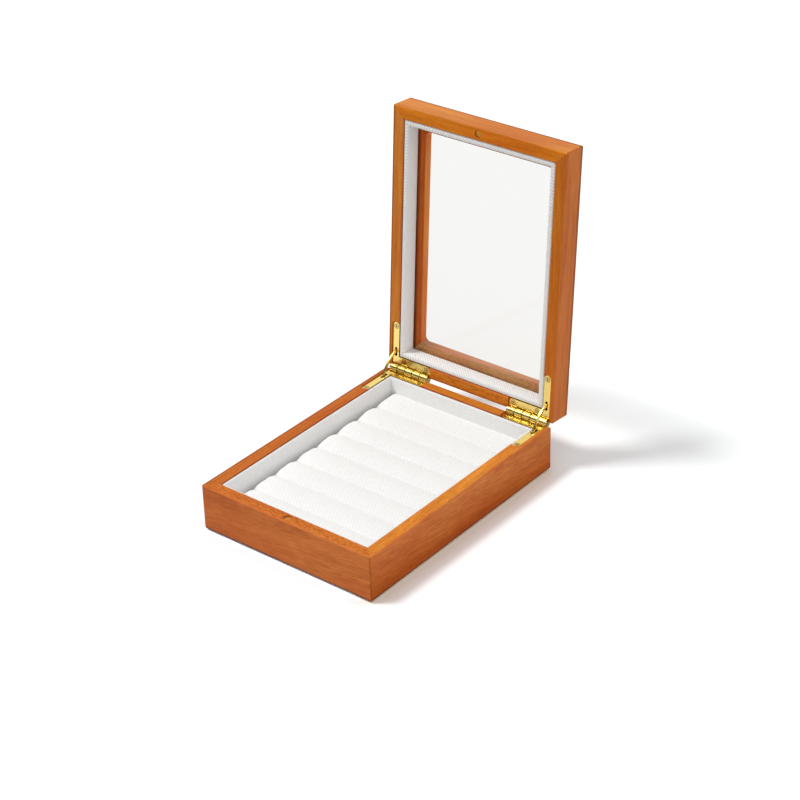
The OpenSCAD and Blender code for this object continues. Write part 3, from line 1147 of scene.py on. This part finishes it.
@dataclass
class Lining:
    """One strip of card covered with linen, mitred at both ends.

    Its section is a rectangle with its two free edges rounded, run along its side of the case; at a distance
    d in from its outer face each end is cut back by d.

    Args:
        node: The frame's node that the strip stands for.
        side: The side of the case that it lies on.
        low: Its lowest corner, with the lid shut.
        high: Its highest corner, with the lid shut.
        body: The body that it moves with, base or lid.
        edge_r: The radius of its free edges.
        spacing: The distance between points on its surface.
        swell: How far its face swells halfway up.
        uneven: How far its face is out of true.
        uneven_length: The length of the waves in it.
    """

    node: str
    side: Side
    low: Points
    high: Points
    body: str
    edge_r: float
    spacing: float = 0.32 * MM
    swell: float = 0.08 * MM
    uneven: float = 0.05 * MM
    uneven_length: float = 18 * MM

    def _section(self, thick: float, tall: float) -> Points:
        """The section's outline, from its hidden outer foot.

        Args:
            thick: How thick the strip is.
            tall: How tall it is, to its free edge.

        Returns:
            Points, each d inwards and h towards the free edge.
        """
        r = self.edge_r
        hidden = np.array([[0, 0], [0, tall - r]])
        edges = [quarter((r, tall - r), r, 180, 90), quarter((thick - r, tall - r), r, 90, 0)]
        free = np.concatenate([*edges, [[thick, 0]]])
        foot = np.array([[thick, 0], [0, 0]])
        return resampled([hidden, free, foot], [3, int(run_along(free)[-1] / self.spacing), 2])

    def rings(self) -> Points:
        """The strip's rings, with the lid shut.

        Returns:
            Points by place along the strip and round its section: the outer face's middle, plus the section's
            d inwards and h up or down, plus a run along the side from -(half - d) to half - d.
        """
        size = self.high - self.low
        thick = float(abs(size @ self.side.inwards))
        half = float(size @ self.side.along) / 2
        outer = (self.low + self.high) / 2 - self.side.inwards * thick / 2
        in_base = self.body == "base"
        outer[2] = self.low[2] if in_base else self.high[2]
        up = np.array([0.0, 0.0, 1.0 if in_base else -1.0])
        section = self._section(thick, float(size[2]))
        share = np.linspace(-1, 1, int(2 * half / self.spacing))[:, None]
        d, h = section[None, :, 0], section[None, :, 1]
        run = share * (half - d)
        bulge = self.swell * np.sin(math.pi * h / size[2])
        bulge = bulge + self.uneven * waves(run, h, sum(map(ord, self.node)), self.uneven_length)
        d = d + np.clip(d / thick, 0, 1) ** 4 * bulge
        across = d[..., None] * self.side.inwards + h[..., None] * up
        return outer + run[..., None] * self.side.along + across

    def build(self, linen: Linen, material: Material, turn: LidTurn) -> Piece:
        """Makes the strip in its place.

        Args:
            linen: The cloth that covers it.
            material: That cloth's material.
            turn: The lid's turn, for a strip in the lid.

        Returns:
            The piece, riding on its body in place of the frame's solid.
        """
        smooth = self.rings()
        rings = woven(smooth, linen.weave)
        if self.body == "lid":
            rings = turn.open(rings)
        piece = tube(self.node.replace("lining", "linen"), rings, cloth_uv(smooth), material)
        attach(piece, self.body)
        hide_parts(self.node)
        LOG.info("%s: %d points", piece.name, len(piece.data.vertices))
        return piece


@dataclass
class Linings:
    """The linen linings of the base and the lid.

    Args:
        nodes: The frame's nodes by name.
        turn: The lid's turn.
        base_edge_r: The radius of the strips' free edges in the base.
        lid_edge_r: The same in the lid.
        base_twill: The weave of the cloth in the base.
        lid_twill: The weave of the cloth in the lid.
    """

    nodes: dict[str, Piece]
    turn: LidTurn
    base_edge_r: float = 0.45 * MM
    lid_edge_r: float = 1.1 * MM
    base_twill: Twill = Twill(rib=1.0 * MM)
    lid_twill: Twill = Twill(rib=1.25 * MM, floats=1.6 * MM, relief=0.13 * MM)

    def build(self) -> list[Piece]:
        """Makes the eight strips; the left one in the base has a greyer cloth, which is painted shade
        on that wall.

        Returns:
            The strips, four in each part.
        """
        coverings = {
            "base": Linen("linen_base_linings", self.base_twill, groove=(0.82, 0.81, 0.80)),
            # A greyer copy of the base's cloth: painted shade on the left wall.
            "base_left": Linen("linen_base_left", self.base_twill, (0.91, 0.907, 0.90), (0.74, 0.735, 0.73)),
            "lid": Linen("linen_lid_linings", self.lid_twill, groove=(0.70, 0.69, 0.67)),
        }
        materials = {linen.name: linen.material() for linen in coverings.values()}
        pieces = []
        for part, edge_r in (("base", self.base_edge_r), ("lid", self.lid_edge_r)):
            for side in Side:
                name = f"{part}_{side.word}_lining"
                low, high = corners_of(self.nodes[name], self.turn if part == "lid" else None)
                linen = coverings.get(f"{part}_{side.word}", coverings[part])
                lining = Lining(name, side, low, high, part, edge_r)
                pieces.append(lining.build(linen, materials[linen.name], self.turn))
        return pieces


# ---------------------------------------------------------------- ring rolls


@dataclass
class RingRolls:
    """The padded rolls that hold the rings: foam under linen, pressed side by side.

    Each roll's section has upright sides, which press on the next roll's, and a low curved top that falls to
    them, squarer where it meets a lining. Towards each end its width and its height fall along quarter
    ellipses, so the ends are round from above and from the side.

    Args:
        boxes: The lowest and highest corner of each of the frame's rolls, from the front.
        drop: How much lower the sides' tops are than the middle.
        end_drop: How much more that is at the ends.
        power: The power of the top's curve.
        free_power: The same beside a lining.
        free: How much wider the first and last roll are towards their lining.
        full: How much taller each is than the frame's roll.
        fuller: How much more that is for the last roll, growing from the front.
        taper: How deep and how long the ends' narrowing is.
        dome: How deep and how long the fall of their height is.
        lower: The share of end_drop at the very end, and how far from it that starts.
        crowded: How far the stations crowd towards the ends, from 0 to 1.
        stations: How many rings the coarse cover has.
        counts: How many points each ring has over the top and under the foot.
        finer: How many times as fine the finished roll is, both ways.
        enlarged: How many times its size the cover has while it is filled.
        frames: How many frames the filling takes.
        most: The farthest that filling may move a point.
        slack: How uneven the cover is before it is filled.
        held_share: The share of the half width from which its sides are held.
        held_foot: The height over its foot up to which it is held.
        first_seed: The seed of the first roll's unevenness.
        cloth: The settings of the cover's cloth.
    """

    boxes: list[tuple[Points, Points]]
    drop: float = 1.15 * MM
    end_drop: float = 1.2 * MM
    power: float = 2.2
    free_power: float = 9.0
    free: float = 0.25 * MM
    full: float = 0.4 * MM
    fuller: float = 0.7 * MM
    taper: Pair = (2.2 * MM, 6.5 * MM)
    dome: Pair = (4.0 * MM, 5.0 * MM)
    lower: Pair = (1.0, 14 * MM)
    crowded: float = 0.85
    stations: int = 76
    counts: tuple[int, int] = (46, 8)
    finer: int = 4
    enlarged: float = 10.0
    frames: int = 20
    most: float = 0.6 * MM
    slack: float = 0.02 * MM
    held_share: float = 0.93
    held_foot: float = 1.5 * MM
    first_seed: int = 100
    cloth: dict[str, object] = field(
        default_factory=lambda: {
            "quality": 6,
            "mass": 0.3,
            "tension_stiffness": 15,
            "compression_stiffness": 15,
            "bending_stiffness": 2.0,
            "shrink_min": -0.003,
            "use_pressure": True,
            "uniform_pressure_force": 2.5,
            "vertex_group_mass": "held",
        }
    )

    def _widths(self, number: int, touch: float) -> Pair:
        """How far one roll reaches to its front and its back: the first and last have a little more room.

        Args:
            number: Its place from the front, from 0.
            touch: Half the distance between neighbouring rolls' middles.

        Returns:
            The reach from its middle to the front and to the back.
        """
        return tuple(touch + (self.free if number == at else 0.0) for at in (0, len(self.boxes) - 1))

    def _fallen(self, run: Points, half: float, ellipse: Pair) -> Points:
        """How far a quarter ellipse has fallen near the ends at +-half: deep (1 - sqrt(1 - past^2)).

        Args:
            run: The places along the roll.
            half: Half the roll's length.
            ellipse: How deep and how long the quarter is.

        Returns:
            The fall at each place.
        """
        deep, long = ellipse
        past = np.clip((np.abs(run) - (half - long)) / long, 0, 1)
        return deep * (1 - np.sqrt(1 - past**2))

    def _section(self, front: float, back: float, top: float, drop: float, powers: Pair) -> Points:
        """One ring, from the foot's front corner over the top to the back corner.

        With t from -1 to 1, across is t times the front or back half's width and up is top - drop |t|^power.

        Args:
            front: The front half's width.
            back: The back half's width.
            top: The height at the middle.
            drop: How much lower the sides' tops are.
            powers: The power of each half.

        Returns:
            Points, each across and up.
        """
        t = np.linspace(-1, 1, 161)
        across = np.where(t < 0, front, back) * t
        up = top - drop * np.abs(t) ** np.where(t < 0, powers[0], powers[1])
        over = np.concatenate([[[-front, 0]], np.stack([across, up], axis=-1), [[back, 0]]])
        under = np.array([[back, 0], [-front, 0]])
        return resampled([over, under], self.counts)

    def form(self, number: int, low: Points, high: Points, touch: float) -> Points:
        """A roll's rings before its cover is filled.

        Args:
            number: Its place from the front, from 0.
            low: The roll's lowest corner.
            high: Its highest corner.
            touch: Half the distance between neighbouring rolls' middles, where they touch.

        Returns:
            Points by place along the roll and round its section.
        """
        last = len(self.boxes) - 1
        half = float(high[0] - low[0]) / 2
        tall = float(high[2] - low[2]) + self.full + self.fuller * number / last
        even = np.linspace(-1, 1, self.stations)
        run = half * np.sin(even * math.pi / 2 * self.crowded) / math.sin(math.pi / 2 * self.crowded)
        fronts, backs = (width - self._fallen(run, half, self.taper) for width in self._widths(number, touch))
        powers = tuple(self.free_power if at == number else self.power for at in (0, last))
        tops = tall - self._fallen(run, half, self.dome)
        drops = self.drop + self.end_drop * self._fallen(run, half, self.lower)
        sections = np.stack([self._section(*row, powers) for row in zip(fronts, backs, tops, drops)])
        rings = np.empty((*sections.shape[:2], 3))
        rings[..., 0] = (low[0] + high[0]) / 2 + run[:, None]
        rings[..., 1] = (low[1] + high[1]) / 2 + sections[..., 0]
        rings[..., 2] = low[2] + sections[..., 1]
        return rings

    def _cover(self, number: int, rings: Points, foot: float) -> Piece:
        """A coarse cover as cloth, held at its foot and where rolls press on it.

        It is enlarged so that the cloth solver's fixed lengths suit it.

        Args:
            number: The roll's place from the front, from 0.
            rings: The roll's rings.
            foot: The height of its foot.

        Returns:
            The cover, ready to be filled.
        """
        rng = np.random.default_rng(self.first_seed + number)
        loose = (rings + rng.normal(0, self.slack, rings.shape)) * self.enlarged
        cover = tube(f"cover_{number}", loose, cloth_uv(rings), bpy.data.materials["linen_rolls"])
        flat = rings.reshape(-1, 3)
        middle = (flat[:, 1].min() + flat[:, 1].max()) / 2
        held = np.abs(flat[:, 1] - middle) > self.held_share * (flat[:, 1].max() - middle)
        held |= flat[:, 2] < foot + self.held_foot
        cover.vertex_groups.new(name="held").add(np.flatnonzero(held).tolist(), 1.0, "REPLACE")
        cloth = cover.modifiers.new("cloth", "CLOTH")
        for name, value in self.cloth.items():
            setattr(cloth.settings, name, value)
        cloth.settings.effector_weights.gravity = 0.0
        cloth.point_cache.frame_start = 1
        cloth.point_cache.frame_end = self.frames
        return cover

    def filled(self, forms: list[Points]) -> list[Points]:
        """The rolls' rings after their covers are filled: cloth under pressure, held at the foot.

        Args:
            forms: Each roll's rings before.

        Returns:
            Each roll's rings after, no point moved by more than the most allowed.
        """
        covers = [self._cover(i, rings, self.boxes[i][0][2]) for i, rings in enumerate(forms)]
        scene = bpy.context.scene
        for frame_number in range(1, self.frames + 1):
            scene.frame_set(frame_number)
        graph = bpy.context.evaluated_depsgraph_get()
        after = []
        for rings, cover in zip(forms, covers):
            flat = np.empty(rings.size, np.float32)
            cover.evaluated_get(graph).data.vertices.foreach_get("co", flat)
            move = flat.reshape(rings.shape).astype(float) / self.enlarged - rings
            far = np.linalg.norm(move, axis=2, keepdims=True)
            LOG.info("%s: moved %.2f mm at most", cover.name, far.max() / MM)
            after.append(rings + move * np.minimum(1, self.most / np.maximum(far, 1e-9)))
            mesh = cover.data
            bpy.data.objects.remove(cover)
            bpy.data.meshes.remove(mesh)
        scene.frame_set(1)
        return after

    @staticmethod
    def _finer(count: int, times: int, closed: bool) -> Points:
        """The Catmull-Rom weights that make a row of points times as fine.

        Between points p1 and p2, with f from 0 to 1, the curve is p1 + f (p2 - p0) / 2
        + f^2 (2 p0 - 5 p1 + 4 p2 - p3) / 2 + f^3 (3 p1 - p0 - 3 p2 + p3) / 2.

        Args:
            count: How many points the row has.
            times: How many steps there are between two of them.
            closed: Whether the last point leads back to the first.

        Returns:
            The weight of each point, for each of the finer places.
        """
        last = count if closed else count - 1
        at = np.arange(last * times + (0 if closed else 1)) / times
        base = np.minimum(np.floor(at).astype(int), last - 1)
        f = at - base
        shares = (
            (-f + 2 * f**2 - f**3) / 2,
            (2 - 5 * f**2 + 3 * f**3) / 2,
            (f + 4 * f**2 - 3 * f**3) / 2,
            (f**3 - f**2) / 2,
        )
        weights = np.zeros((len(at), count))
        for step, share in zip((-1, 0, 1, 2), shares):
            place = (base + step) % count if closed else np.clip(base + step, 0, count - 1)
            np.add.at(weights, (np.arange(len(at)), place), share)
        return weights

    def build(self, linen: Linen, material: Material) -> list[Piece]:
        """Makes the rolls in their places.

        Args:
            linen: The cloth that covers them.
            material: That cloth's material.

        Returns:
            The rolls, each riding on the base in place of the frame's solid.
        """
        middles = [float(low[1] + high[1]) / 2 for low, high in self.boxes]
        touch = (middles[-1] - middles[0]) / (len(middles) - 1) / 2
        forms = [self.form(i, low, high, touch) for i, (low, high) in enumerate(self.boxes)]
        forms = self.filled(forms)
        pieces = []
        for number, (rings, (low, high)) in enumerate(zip(forms, self.boxes), start=1):
            front, back = self._widths(number - 1, touch)
            middle = middles[number - 1]
            rings[..., 1] = np.clip(rings[..., 1], middle - front, middle + back)
            rings[..., 2] = np.maximum(rings[..., 2], low[2])
            rings[..., 0] = np.clip(rings[..., 0], low[0], high[0])
            along = self._finer(rings.shape[0], self.finer, closed=False)
            round_it = self._finer(rings.shape[1], self.finer, closed=True)
            fine = np.einsum("ai,bj,ijk->abk", along, round_it, rings)
            piece = tube(f"roll_{number}", woven(fine, linen.weave), cloth_uv(fine), material)
            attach(piece, "base")
            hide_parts(f"ring_roll_{number}")
            LOG.info("%s: %d points", piece.name, len(piece.data.vertices))
            pieces.append(piece)
        return pieces


# ---------------------------------------------------------------- studio


@dataclass
class Studio:
    """The camera, the pale floor and the soft light.

    Args:
        eye: Where the camera is.
        azimuth: The way to the camera, round from the front, in degrees.
        elevation: Its height over the horizon, in degrees.
        roll: How far it is turned about its own line of sight, in degrees.
        lens: Its focal length in millimetres on a 36 mm sensor.
        key_from: The way to the key lamp.
        key_strength: Its strength.
        key_width: The angle that it fills, in degrees.
        fill: The strength of the world's light.
        fill_right: How much stronger it is from the right.
        fill_back: How much stronger it is from the back.
        mirrored: How bright the room is where metal and glass mirror it.
        mirrored_front: How bright it is there in a band low in front.
        mirror_low: The limits over which that band starts, by the height of the way to it.
        mirror_high: The limits over which it ends.
        mirror_front: The limits over which it ends towards the back.
        floor_size: The length of the floor's sides.
        floor_seen: The floor's colour.
        floor_through: Its colour through the glass, and the room's brightness there.
        floor_lighting: How pale the floor is for the light that it gives back.
        floor_warmth: Painted warm bounce light that tints the floor near the object, in the shadow.
        floor_reach: How far that reaches.
        floor_lift: How much light the floor adds of its own.
        shaded_edge: What multiplies its colour at the object's foot, in the shadow: painted light there.
        lit_edge: The same on the lit side, painted light that takes out the contact shade there.
        lit_floor: What multiplies its colour ahead of the object, on the lit side: painted light there.
        edge_reach: How far the shaded edge reaches, and half of how far the lit one does.
        shadow_from: The limits in X over which the shadow's side starts.
        lit_until: The limits in Y over which the lit side ends.
        ahead_until: The limits in Y over which what is ahead of the object ends.
    """

    eye: Triple = (0.6068, -0.7277, 0.6155)
    azimuth: float = 39.14
    elevation: float = 30.41
    roll: float = -1.61
    lens: float = 97.23
    key_from: Triple = (-0.361, -0.276, 0.891)
    key_strength: float = 1.53
    key_width: float = 13.0
    fill: float = 0.56
    fill_right: float = 0.38
    fill_back: float = 0.10
    mirrored: float = 1.0
    mirrored_front: float = 0.10
    mirror_low: Pair = (0.02, 0.15)
    mirror_high: Pair = (0.55, 0.75)
    mirror_front: Pair = (-0.35, 0.0)
    floor_size: float = 9.0
    floor_seen: Colour = (1.09, 1.12, 1.13)
    floor_through: Colour = (0.92, 0.92, 0.907)
    floor_lighting: float = 0.58
    floor_warmth: Colour = (0.89, 0.79, 0.66)
    floor_reach: float = 14 * MM
    floor_lift: float = 0.03
    shaded_edge: Colour = (1.30, 1.12, 0.92)
    lit_edge: Colour = (1.45, 1.55, 1.68)
    lit_floor: Colour = (1.03, 1.06, 1.10)
    edge_reach: float = 2.0 * MM
    shadow_from: Pair = (40 * MM, 58 * MM)
    lit_until: Pair = (60 * MM, 74 * MM)
    ahead_until: Pair = (-20 * MM, 60 * MM)

    def camera(self) -> None:
        """Places the camera, its axes turned by azimuth, elevation and roll."""
        az, el, ro = (math.radians(v) for v in (self.azimuth, self.elevation, self.roll))
        back = Vector((math.sin(az) * math.cos(el), -math.cos(az) * math.cos(el), math.sin(el)))
        right = Vector((math.cos(az), math.sin(az), 0.0))
        up = back.cross(right)
        right, up = math.cos(ro) * right + math.sin(ro) * up, math.cos(ro) * up - math.sin(ro) * right
        data = bpy.data.cameras.new("camera")
        data.lens = self.lens
        data.sensor_width = 36.0
        data.clip_start = 0.01
        data.clip_end = 30.0
        camera = bpy.data.objects.new("camera", data)
        turn = Matrix((right, up, back)).transposed().to_4x4()
        camera.matrix_world = Matrix.Translation(self.eye) @ turn
        bpy.context.scene.collection.objects.link(camera)
        bpy.context.scene.camera = camera

    def _seen(self, g: Graph) -> Socket:
        """Whether a ray is one that the camera sees by, straight or by way of metal or glass.

        Args:
            g: The graph to add the test to.

        Returns:
            1 for such a ray and 0 for others.
        """
        path = g.node("LightPath").outputs
        seen = g.math("MAXIMUM", path["Is Camera Ray"], path["Is Glossy Ray"])
        return g.math("MAXIMUM", seen, path["Is Transmission Ray"])

    def light(self) -> None:
        """Lights the object with an even pale world and one broad key lamp from the front left."""
        world = bpy.data.worlds.new("studio")
        bpy.context.scene.world = world
        g = Graph(world)
        path = g.node("LightPath").outputs
        x, y, z = g.node("SeparateXYZ", {0: g.node("TexCoord").outputs["Generated"]}).outputs
        lit = g.plus(self.fill, g.times(x, self.fill_right))
        lit = g.plus(lit, g.times(y, self.fill_back))
        low = g.times(g.spread(z, *self.mirror_low), g.spread(z, *self.mirror_high, 1.0, 0.0))
        room = g.times(low, g.spread(y, *self.mirror_front, 1.0, 0.0))
        mirrored = g.spread(room, 0.0, 1.0, self.mirrored, self.mirrored_front)
        level = g.choose(path["Is Glossy Ray"], lit, mirrored)
        level = g.choose(path["Is Transmission Ray"], level, self.floor_through[0])
        strength = g.choose(path["Is Camera Ray"], level, 1.0)
        background = g.node("Background", {"Color": PLAIN, "Strength": strength})
        output = g.node("OutputWorld")
        g.tree.links.new(background.outputs[0], output.inputs["Surface"])
        data = bpy.data.lights.new("key", "SUN")
        data.energy = self.key_strength
        data.angle = math.radians(self.key_width)
        key = bpy.data.objects.new("key", data)
        key.rotation_euler = Vector(self.key_from).to_track_quat("Z", "Y").to_euler()
        bpy.context.scene.collection.objects.link(key)

    def _floor_material(self) -> Material:
        """The floor's white, with a painted warm bounce close to the wood in the shadow, and painted light
        at the object's foot and ahead of it on the lit side.

        Returns:
            The material, which lights the object less than it shows.
        """
        material, g = new_graph("floor")
        seen = self._seen(g)
        path = g.node("LightPath").outputs
        colour = g.mix(path["Is Transmission Ray"], self.floor_seen, self.floor_through)
        x, y, _ = g.node("SeparateXYZ", {0: g.node("TexCoord").outputs["Object"]}).outputs
        shadow_side = g.spread(x, *self.shadow_from)
        lit_side = g.times(g.math("SUBTRACT", 1.0, shadow_side), g.spread(y, *self.lit_until, 1.0, 0.0))
        ahead = g.times(lit_side, g.spread(y, *self.ahead_until, 1.0, 0.0))
        # Painted light ahead of the object on the lit side, for the camera only.
        colour = g.tint(colour, self.lit_floor, ahead, path["Is Camera Ray"])
        # Painted warm bounce in the shadow near the object, and painted light at its foot on both sides.
        edges = (
            (self.floor_warmth, self.floor_reach, shadow_side),
            (self.shaded_edge, self.edge_reach, shadow_side),
            (self.lit_edge, self.edge_reach * 2, lit_side),
        )
        for tint, reach, where in edges:
            colour = g.tint(colour, tint, g.spread(g.air(reach, 8), 0.5, 0.9, 1.0, 0.0), where)
        matt = g.node("BsdfDiffuse", {"Color": g.mix(seen, (self.floor_lighting,) * 3, colour)})
        lift = g.node("Emission", {"Strength": g.times(seen, self.floor_lift)})
        g.surface(g.node("AddShader", {0: matt.outputs[0], 1: lift.outputs[0]}))
        return material

    def floor(self) -> None:
        """Lays the white floor, which keeps the object's shadow."""
        half = self.floor_size / 2
        mesh = bpy.data.meshes.new("floor")
        corners = [(-half, -half, 0.0), (half, -half, 0.0), (half, half, 0.0), (-half, half, 0.0)]
        mesh.from_pydata(corners, [], [(0, 1, 2, 3)])
        mesh.materials.append(self._floor_material())
        floor = bpy.data.objects.new("floor", mesh)
        bpy.context.scene.collection.objects.link(floor)


# ---------------------------------------------------------------- the whole box


def points_of(node: Piece) -> Points:
    """A frame's node's points.

    Args:
        node: The node.

    Returns:
        Its points, one in each row.
    """
    points = np.empty(len(node.data.vertices) * 3, np.float32)
    node.data.vertices.foreach_get("co", points)
    return points.reshape(-1, 3).astype(float)


def corners_of(node: Piece, turn: LidTurn | None = None) -> tuple[Points, Points]:
    """The lowest and highest corner of a frame's node.

    Args:
        node: The node.
        turn: The lid's turn, for a node in the lid, which is then measured with the lid shut.

    Returns:
        The two corners of the box round it.
    """
    points = points_of(node)
    if turn is not None:
        points = turn.shut(points)
    return points.min(axis=0), points.max(axis=0)


def main() -> None:
    """Builds the studio, then each part of the box."""
    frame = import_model()
    scene = bpy.context.scene
    scene.view_settings.view_transform = "Standard"
    studio = Studio()
    studio.camera()
    studio.light()
    studio.floor()

    nodes = frame["nodes"]
    hinge = next(joint for joint in frame["joints"] if joint["name"] == "lid_hinge")
    turn = LidTurn(tuple(hinge["pos_m"]), math.radians(hinge["range_deg"][1]))
    WoodenCase(nodes, turn).finish()
    Hardware(nodes, turn).finish()
    Linings(nodes, turn).build()
    padding = Linen("linen_rolls", Twill(angle=50.0))
    count = sum(name.startswith("ring_roll_") for name in nodes)
    boxes = [corners_of(nodes[f"ring_roll_{i}"]) for i in range(1, count + 1)]
    RingRolls(boxes).build(padding, padding.material())


if __name__ == "__main__":
    logging.basicConfig(level=logging.INFO, format="%(message)s", stream=sys.stdout)
    main()
